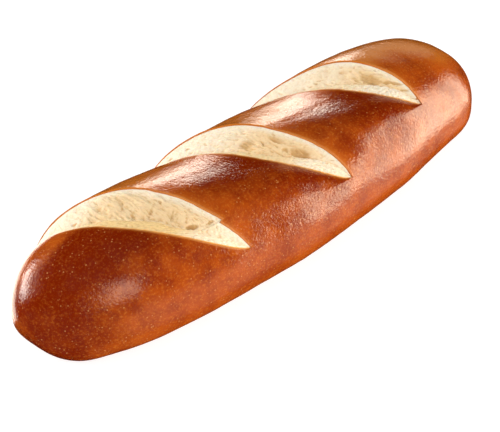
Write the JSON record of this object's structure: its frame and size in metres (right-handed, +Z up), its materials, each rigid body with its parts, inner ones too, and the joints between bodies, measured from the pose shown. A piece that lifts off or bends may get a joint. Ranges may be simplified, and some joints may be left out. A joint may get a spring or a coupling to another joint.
{
  "type": "pretzel sandwich roll",
  "caption": "Long glazed pretzel sandwich roll with slanting slashes that opened in the bake and show pale torn crumb, resting on its flat sole.",
  "frame": {"origin": "middle of the roll's outline seen from above, on the plane that its sole rests on", "axes": "+X along the roll towards its farther tip in the picture, +Y towards the side away from the camera, +Z up"},
  "size_m": [0.2, 0.0556, 0.0423],
  "materials": {
    "glazed_crust": "glossy reddish-brown baked crust with cream crumb in the slashes"
  },
  "bodies": {
    "root": {"roll": "glazed_crust"}
  },
  "joints": []
}
